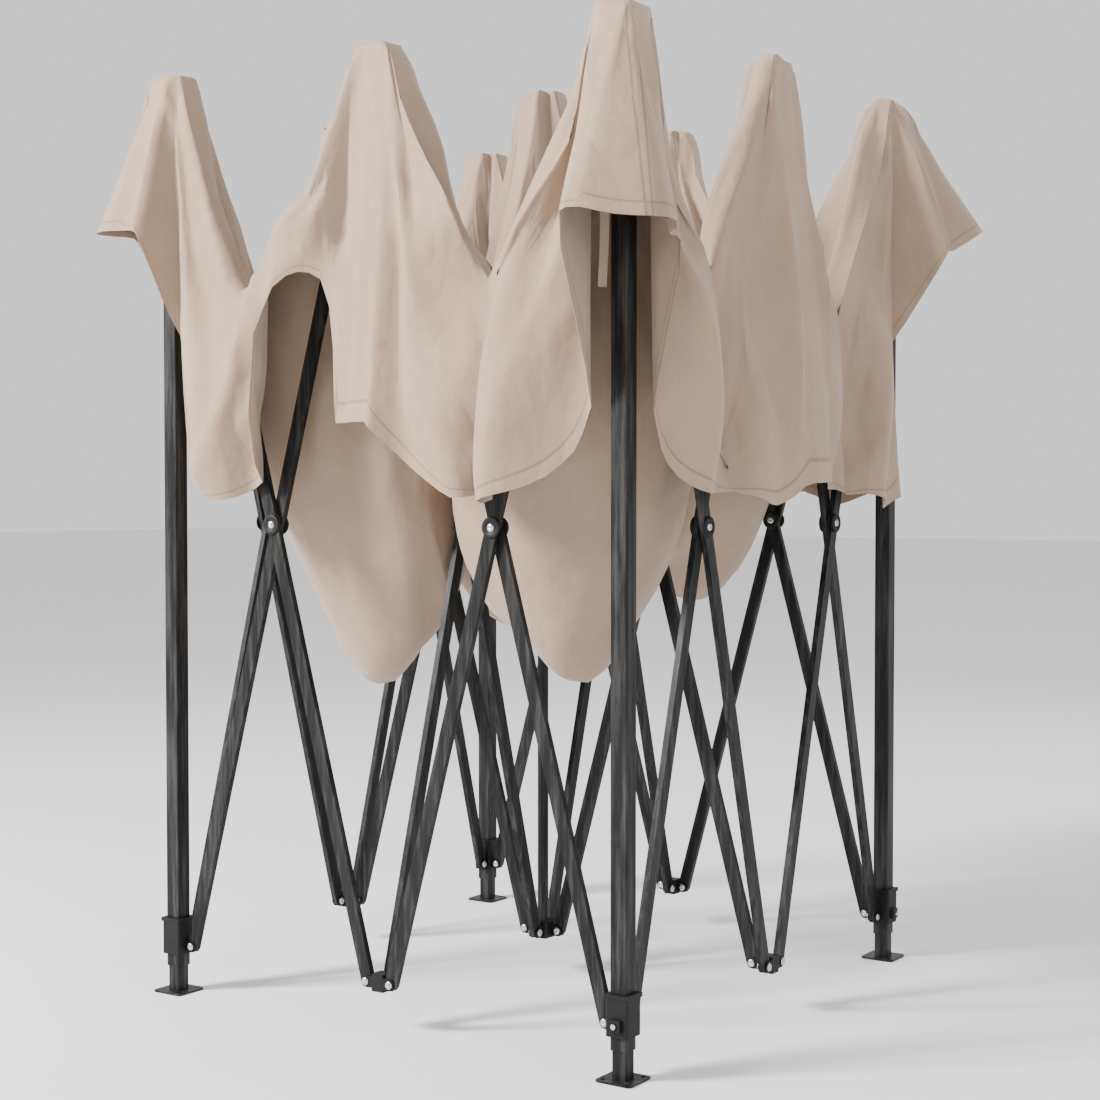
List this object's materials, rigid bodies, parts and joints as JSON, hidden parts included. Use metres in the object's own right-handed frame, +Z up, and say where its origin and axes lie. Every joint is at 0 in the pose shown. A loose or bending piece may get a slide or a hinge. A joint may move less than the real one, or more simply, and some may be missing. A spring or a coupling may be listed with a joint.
{
  "type": "pop up canopy",
  "caption": "Pop up canopy frame of square legs and scissor bars, part folded, with a fabric roof draped over its peaks.",
  "frame": {"origin": "on the ground below the centre hub, the middle of the object's footprint", "axes": "+Z up along the legs, +X to the right and -Y to the front of the square plan"},
  "size_m": [1.1592, 1.1592, 1.5707],
  "materials": {
    "frame_black": "satin",
    "joint_black": "satin",
    "bolt_steel": "satin",
    "cover_fabric": "matte"
  },
  "bodies": {
    "upper_hub": {"upper_hub": "joint_black", "canopy_cover": "cover_fabric"},
    "lower_hub": {"lower_hub": "joint_black", "centre_pole": "frame_black"},
    "front_left_falling_bar": {"front_left_falling_bar": "frame_black"},
    "front_left_rising_bar": {"front_left_rising_bar": "frame_black"},
    "front_right_falling_bar": {"front_right_falling_bar": "frame_black"},
    "front_right_rising_bar": {"front_right_rising_bar": "frame_black"},
    "front_inner_falling_bar": {"front_inner_falling_bar": "frame_black"},
    "front_inner_rising_bar": {"front_inner_rising_bar": "frame_black"},
    "right_front_falling_bar": {"right_front_falling_bar": "frame_black"},
    "right_front_rising_bar": {"right_front_rising_bar": "frame_black"},
    "right_back_falling_bar": {"right_back_falling_bar": "frame_black"},
    "right_back_rising_bar": {"right_back_rising_bar": "frame_black"},
    "right_inner_falling_bar": {"right_inner_falling_bar": "frame_black"},
    "right_inner_rising_bar": {"right_inner_rising_bar": "frame_black"},
    "back_right_falling_bar": {"back_right_falling_bar": "frame_black"},
    "back_right_rising_bar": {"back_right_rising_bar": "frame_black"},
    "back_left_falling_bar": {"back_left_falling_bar": "frame_black"},
    "back_left_rising_bar": {"back_left_rising_bar": "frame_black"},
    "back_inner_falling_bar": {"back_inner_falling_bar": "frame_black"},
    "back_inner_rising_bar": {"back_inner_rising_bar": "frame_black"},
    "left_back_falling_bar": {"left_back_falling_bar": "frame_black"},
    "left_back_rising_bar": {"left_back_rising_bar": "frame_black"},
    "left_front_falling_bar": {"left_front_falling_bar": "frame_black"},
    "left_front_rising_bar": {"left_front_rising_bar": "frame_black"},
    "left_inner_falling_bar": {"left_inner_falling_bar": "frame_black"},
    "left_inner_rising_bar": {"left_inner_rising_bar": "frame_black"},
    "top_connector_front": {"top_connector_front": "joint_black"},
    "bottom_connector_front": {"bottom_connector_front": "joint_black"},
    "top_connector_right": {"top_connector_right": "joint_black"},
    "bottom_connector_right": {"bottom_connector_right": "joint_black"},
    "top_connector_back": {"top_connector_back": "joint_black"},
    "bottom_connector_back": {"bottom_connector_back": "joint_black"},
    "top_connector_left": {"top_connector_left": "joint_black"},
    "bottom_connector_left": {"bottom_connector_left": "joint_black"},
    "leg_front_left": {"outer_leg_front_left": "frame_black", "corner_bracket_front_left": "joint_black"},
    "inner_leg_front_left": {"inner_leg_front_left": "frame_black", "foot_plate_front_left": "frame_black"},
    "slider_front_left": {"slider_front_left": "joint_black"},
    "slider_button_front_left": {"slider_button_front_left": "bolt_steel"},
    "leg_front_right": {"outer_leg_front_right": "frame_black", "corner_bracket_front_right": "joint_black"},
    "inner_leg_front_right": {"inner_leg_front_right": "frame_black", "foot_plate_front_right": "frame_black"},
    "slider_front_right": {"slider_front_right": "joint_black"},
    "slider_button_front_right": {"slider_button_front_right": "bolt_steel"},
    "leg_back_right": {"outer_leg_back_right": "frame_black", "corner_bracket_back_right": "joint_black"},
    "inner_leg_back_right": {"inner_leg_back_right": "frame_black", "foot_plate_back_right": "frame_black"},
    "slider_back_right": {"slider_back_right": "joint_black"},
    "slider_button_back_right": {"slider_button_back_right": "bolt_steel"},
    "leg_back_left": {"outer_leg_back_left": "frame_black", "corner_bracket_back_left": "joint_black"},
    "inner_leg_back_left": {"inner_leg_back_left": "frame_black", "foot_plate_back_left": "frame_black"},
    "slider_back_left": {"slider_back_left": "joint_black"},
    "slider_button_back_left": {"slider_button_back_left": "bolt_steel"}
  },
  "joints": [
    {"name": "fold", "type": "hinge", "parent": "upper_hub", "child": "front_inner_rising_bar", "pos_m": [-0.0055, -0.031, 1.52973], "axis": [-1, 0, 0], "range_deg": [-13, 59], "deforming": ["canopy_cover"]},
    {"name": "front_inner_pivot", "type": "hinge", "parent": "front_inner_rising_bar", "child": "front_inner_falling_bar", "pos_m": [0, -0.2293, 0.80487], "axis": [-1, 0, 0], "range_deg": [-118, 26]},
    {"name": "front_inner_top_pin", "type": "hinge", "parent": "front_inner_falling_bar", "child": "top_connector_front", "pos_m": [0.0055, -0.4276, 1.52973], "axis": [-1, 0, 0], "range_deg": [-13, 59]},
    {"name": "front_inner_bottom_pin", "type": "hinge", "parent": "front_inner_rising_bar", "child": "bottom_connector_front", "pos_m": [-0.0055, -0.4276, 0.08], "axis": [-1, 0, 0], "range_deg": [-59, 13]},
    {"name": "lower_hub_pin", "type": "hinge", "parent": "front_inner_falling_bar", "child": "lower_hub", "pos_m": [0.0055, -0.031, 0.08], "axis": [-1, 0, 0], "range_deg": [-13, 59]},
    {"name": "right_hub_pin", "type": "hinge", "parent": "upper_hub", "child": "right_inner_rising_bar", "pos_m": [0.031, -0.0055, 1.52973], "axis": [0, -1, 0], "range_deg": [-13, 59]},
    {"name": "right_inner_pivot", "type": "hinge", "parent": "right_inner_rising_bar", "child": "right_inner_falling_bar", "pos_m": [0.2293, 0, 0.80487], "axis": [0, -1, 0], "range_deg": [-118, 26]},
    {"name": "right_inner_top_pin", "type": "hinge", "parent": "right_inner_falling_bar", "child": "top_connector_right", "pos_m": [0.4276, 0.0055, 1.52973], "axis": [0, -1, 0], "range_deg": [-13, 59]},
    {"name": "right_inner_bottom_pin", "type": "hinge", "parent": "right_inner_rising_bar", "child": "bottom_connector_right", "pos_m": [0.4276, -0.0055, 0.08], "axis": [0, -1, 0], "range_deg": [-59, 13]},
    {"name": "back_hub_pin", "type": "hinge", "parent": "upper_hub", "child": "back_inner_rising_bar", "pos_m": [0.0055, 0.031, 1.52973], "axis": [1, 0, 0], "range_deg": [-13, 59]},
    {"name": "back_inner_pivot", "type": "hinge", "parent": "back_inner_rising_bar", "child": "back_inner_falling_bar", "pos_m": [0, 0.2293, 0.80487], "axis": [1, 0, 0], "range_deg": [-118, 26]},
    {"name": "back_inner_top_pin", "type": "hinge", "parent": "back_inner_falling_bar", "child": "top_connector_back", "pos_m": [-0.0055, 0.4276, 1.52973], "axis": [1, 0, 0], "range_deg": [-13, 59]},
    {"name": "back_inner_bottom_pin", "type": "hinge", "parent": "back_inner_rising_bar", "child": "bottom_connector_back", "pos_m": [0.0055, 0.4276, 0.08], "axis": [1, 0, 0], "range_deg": [-59, 13]},
    {"name": "left_hub_pin", "type": "hinge", "parent": "upper_hub", "child": "left_inner_rising_bar", "pos_m": [-0.031, 0.0055, 1.52973], "axis": [0, 1, 0], "range_deg": [-13, 59]},
    {"name": "left_inner_pivot", "type": "hinge", "parent": "left_inner_rising_bar", "child": "left_inner_falling_bar", "pos_m": [-0.2293, 0, 0.80487], "axis": [0, 1, 0], "range_deg": [-118, 26]},
    {"name": "left_inner_top_pin", "type": "hinge", "parent": "left_inner_falling_bar", "child": "top_connector_left", "pos_m": [-0.4276, -0.0055, 1.52973], "axis": [0, 1, 0], "range_deg": [-13, 59]},
    {"name": "left_inner_bottom_pin", "type": "hinge", "parent": "left_inner_rising_bar", "child": "bottom_connector_left", "pos_m": [-0.4276, 0.0055, 0.08], "axis": [0, 1, 0], "range_deg": [-59, 13]},
    {"name": "front_left_top_pin", "type": "hinge", "parent": "top_connector_front", "child": "front_left_rising_bar", "pos_m": [-0.024, -0.4461, 1.52973], "axis": [0, 1, 0], "range_deg": [-13, 59]},
    {"name": "front_left_pivot", "type": "hinge", "parent": "front_left_rising_bar", "child": "front_left_falling_bar", "pos_m": [-0.2223, -0.4516, 0.80487], "axis": [0, 1, 0], "range_deg": [-118, 26]},
    {"name": "front_left_leg_pin", "type": "hinge", "parent": "front_left_falling_bar", "child": "leg_front_left", "pos_m": [-0.4206, -0.4571, 1.52973], "axis": [0, 1, 0], "range_deg": [-13, 59]},
    {"name": "front_left_slider_pin", "type": "hinge", "parent": "front_left_rising_bar", "child": "slider_front_left", "pos_m": [-0.4206, -0.4461, 0.08], "axis": [0, 1, 0], "range_deg": [-59, 13]},
    {"name": "front_right_top_pin", "type": "hinge", "parent": "top_connector_front", "child": "front_right_rising_bar", "pos_m": [0.024, -0.4461, 1.52973], "axis": [0, -1, 0], "range_deg": [-13, 59]},
    {"name": "front_right_pivot", "type": "hinge", "parent": "front_right_rising_bar", "child": "front_right_falling_bar", "pos_m": [0.2223, -0.4516, 0.80487], "axis": [0, -1, 0], "range_deg": [-118, 26]},
    {"name": "right_front_top_pin", "type": "hinge", "parent": "top_connector_right", "child": "right_front_rising_bar", "pos_m": [0.4461, -0.024, 1.52973], "axis": [-1, 0, 0], "range_deg": [-13, 59]},
    {"name": "right_front_pivot", "type": "hinge", "parent": "right_front_rising_bar", "child": "right_front_falling_bar", "pos_m": [0.4516, -0.2223, 0.80487], "axis": [-1, 0, 0], "range_deg": [-118, 26]},
    {"name": "right_front_leg_pin", "type": "hinge", "parent": "right_front_falling_bar", "child": "leg_front_right", "pos_m": [0.4571, -0.4206, 1.52973], "axis": [-1, 0, 0], "range_deg": [-13, 59]},
    {"name": "right_front_slider_pin", "type": "hinge", "parent": "right_front_rising_bar", "child": "slider_front_right", "pos_m": [0.4461, -0.4206, 0.08], "axis": [-1, 0, 0], "range_deg": [-59, 13]},
    {"name": "right_back_top_pin", "type": "hinge", "parent": "top_connector_right", "child": "right_back_rising_bar", "pos_m": [0.4461, 0.024, 1.52973], "axis": [1, 0, 0], "range_deg": [-13, 59]},
    {"name": "right_back_pivot", "type": "hinge", "parent": "right_back_rising_bar", "child": "right_back_falling_bar", "pos_m": [0.4516, 0.2223, 0.80487], "axis": [1, 0, 0], "range_deg": [-118, 26]},
    {"name": "back_right_top_pin", "type": "hinge", "parent": "top_connector_back", "child": "back_right_rising_bar", "pos_m": [0.024, 0.4461, 1.52973], "axis": [0, -1, 0], "range_deg": [-13, 59]},
    {"name": "back_right_pivot", "type": "hinge", "parent": "back_right_rising_bar", "child": "back_right_falling_bar", "pos_m": [0.2223, 0.4516, 0.80487], "axis": [0, -1, 0], "range_deg": [-118, 26]},
    {"name": "back_right_leg_pin", "type": "hinge", "parent": "back_right_falling_bar", "child": "leg_back_right", "pos_m": [0.4206, 0.4571, 1.52973], "axis": [0, -1, 0], "range_deg": [-13, 59]},
    {"name": "back_right_slider_pin", "type": "hinge", "parent": "back_right_rising_bar", "child": "slider_back_right", "pos_m": [0.4206, 0.4461, 0.08], "axis": [0, -1, 0], "range_deg": [-59, 13]},
    {"name": "back_left_top_pin", "type": "hinge", "parent": "top_connector_back", "child": "back_left_rising_bar", "pos_m": [-0.024, 0.4461, 1.52973], "axis": [0, 1, 0], "range_deg": [-13, 59]},
    {"name": "back_left_pivot", "type": "hinge", "parent": "back_left_rising_bar", "child": "back_left_falling_bar", "pos_m": [-0.2223, 0.4516, 0.80487], "axis": [0, 1, 0], "range_deg": [-118, 26]},
    {"name": "left_back_top_pin", "type": "hinge", "parent": "top_connector_left", "child": "left_back_rising_bar", "pos_m": [-0.4461, 0.024, 1.52973], "axis": [1, 0, 0], "range_deg": [-13, 59]},
    {"name": "left_back_pivot", "type": "hinge", "parent": "left_back_rising_bar", "child": "left_back_falling_bar", "pos_m": [-0.4516, 0.2223, 0.80487], "axis": [1, 0, 0], "range_deg": [-118, 26]},
    {"name": "left_back_leg_pin", "type": "hinge", "parent": "left_back_falling_bar", "child": "leg_back_left", "pos_m": [-0.4571, 0.4206, 1.52973], "axis": [1, 0, 0], "range_deg": [-13, 59]},
    {"name": "left_back_slider_pin", "type": "hinge", "parent": "left_back_rising_bar", "child": "slider_back_left", "pos_m": [-0.4461, 0.4206, 0.08], "axis": [1, 0, 0], "range_deg": [-59, 13]},
    {"name": "left_front_top_pin", "type": "hinge", "parent": "top_connector_left", "child": "left_front_rising_bar", "pos_m": [-0.4461, -0.024, 1.52973], "axis": [-1, 0, 0], "range_deg": [-13, 59]},
    {"name": "left_front_pivot", "type": "hinge", "parent": "left_front_rising_bar", "child": "left_front_falling_bar", "pos_m": [-0.4516, -0.2223, 0.80487], "axis": [-1, 0, 0], "range_deg": [-118, 26]},
    {"name": "leg_extend_front_left", "type": "slide", "parent": "leg_front_left", "child": "inner_leg_front_left", "axis": [0, 0, -1], "range_m": [0, 0.75]},
    {"name": "slider_press_front_left", "type": "slide", "parent": "slider_front_left", "child": "slider_button_front_left", "axis": [1, 0, 0], "range_m": [0, 0.003], "stiffness_N_per_m": 400, "springref_m": -0.002},
    {"name": "leg_extend_front_right", "type": "slide", "parent": "leg_front_right", "child": "inner_leg_front_right", "axis": [0, 0, -1], "range_m": [0, 0.75]},
    {"name": "slider_press_front_right", "type": "slide", "parent": "slider_front_right", "child": "slider_button_front_right", "axis": [0, 1, 0], "range_m": [0, 0.003], "stiffness_N_per_m": 400, "springref_m": -0.002},
    {"name": "leg_extend_back_right", "type": "slide", "parent": "leg_back_right", "child": "inner_leg_back_right", "axis": [0, 0, -1], "range_m": [0, 0.75]},
    {"name": "slider_press_back_right", "type": "slide", "parent": "slider_back_right", "child": "slider_button_back_right", "axis": [-1, 0, 0], "range_m": [0, 0.003], "stiffness_N_per_m": 400, "springref_m": -0.002},
    {"name": "leg_extend_back_left", "type": "slide", "parent": "leg_back_left", "child": "inner_leg_back_left", "axis": [0, 0, -1], "range_m": [0, 0.75]},
    {"name": "slider_press_back_left", "type": "slide", "parent": "slider_back_left", "child": "slider_button_back_left", "axis": [0, -1, 0], "range_m": [0, 0.003], "stiffness_N_per_m": 400, "springref_m": -0.002}
  ],
  "couplings": [
    {"joint": "front_inner_pivot", "follows": "fold", "ratio": -2},
    {"joint": "front_inner_top_pin", "follows": "fold", "ratio": 1},
    {"joint": "front_inner_bottom_pin", "follows": "fold", "ratio": -1},
    {"joint": "lower_hub_pin", "follows": "fold", "ratio": 1},
    {"joint": "right_hub_pin", "follows": "fold", "ratio": 1},
    {"joint": "right_inner_pivot", "follows": "fold", "ratio": -2},
    {"joint": "right_inner_top_pin", "follows": "fold", "ratio": 1},
    {"joint": "right_inner_bottom_pin", "follows": "fold", "ratio": -1},
    {"joint": "back_hub_pin", "follows": "fold", "ratio": 1},
    {"joint": "back_inner_pivot", "follows": "fold", "ratio": -2},
    {"joint": "back_inner_top_pin", "follows": "fold", "ratio": 1},
    {"joint": "back_inner_bottom_pin", "follows": "fold", "ratio": -1},
    {"joint": "left_hub_pin", "follows": "fold", "ratio": 1},
    {"joint": "left_inner_pivot", "follows": "fold", "ratio": -2},
    {"joint": "left_inner_top_pin", "follows": "fold", "ratio": 1},
    {"joint": "left_inner_bottom_pin", "follows": "fold", "ratio": -1},
    {"joint": "front_left_top_pin", "follows": "fold", "ratio": 1},
    {"joint": "front_left_pivot", "follows": "fold", "ratio": -2},
    {"joint": "front_left_leg_pin", "follows": "fold", "ratio": 1},
    {"joint": "front_left_slider_pin", "follows": "fold", "ratio": -1},
    {"joint": "front_right_top_pin", "follows": "fold", "ratio": 1},
    {"joint": "front_right_pivot", "follows": "fold", "ratio": -2},
    {"joint": "right_front_top_pin", "follows": "fold", "ratio": 1},
    {"joint": "right_front_pivot", "follows": "fold", "ratio": -2},
    {"joint": "right_front_leg_pin", "follows": "fold", "ratio": 1},
    {"joint": "right_front_slider_pin", "follows": "fold", "ratio": -1},
    {"joint": "right_back_top_pin", "follows": "fold", "ratio": 1},
    {"joint": "right_back_pivot", "follows": "fold", "ratio": -2},
    {"joint": "back_right_top_pin", "follows": "fold", "ratio": 1},
    {"joint": "back_right_pivot", "follows": "fold", "ratio": -2},
    {"joint": "back_right_leg_pin", "follows": "fold", "ratio": 1},
    {"joint": "back_right_slider_pin", "follows": "fold", "ratio": -1},
    {"joint": "back_left_top_pin", "follows": "fold", "ratio": 1},
    {"joint": "back_left_pivot", "follows": "fold", "ratio": -2},
    {"joint": "left_back_top_pin", "follows": "fold", "ratio": 1},
    {"joint": "left_back_pivot", "follows": "fold", "ratio": -2},
    {"joint": "left_back_leg_pin", "follows": "fold", "ratio": 1},
    {"joint": "left_back_slider_pin", "follows": "fold", "ratio": -1},
    {"joint": "left_front_top_pin", "follows": "fold", "ratio": 1},
    {"joint": "left_front_pivot", "follows": "fold", "ratio": -2}
  ]
}
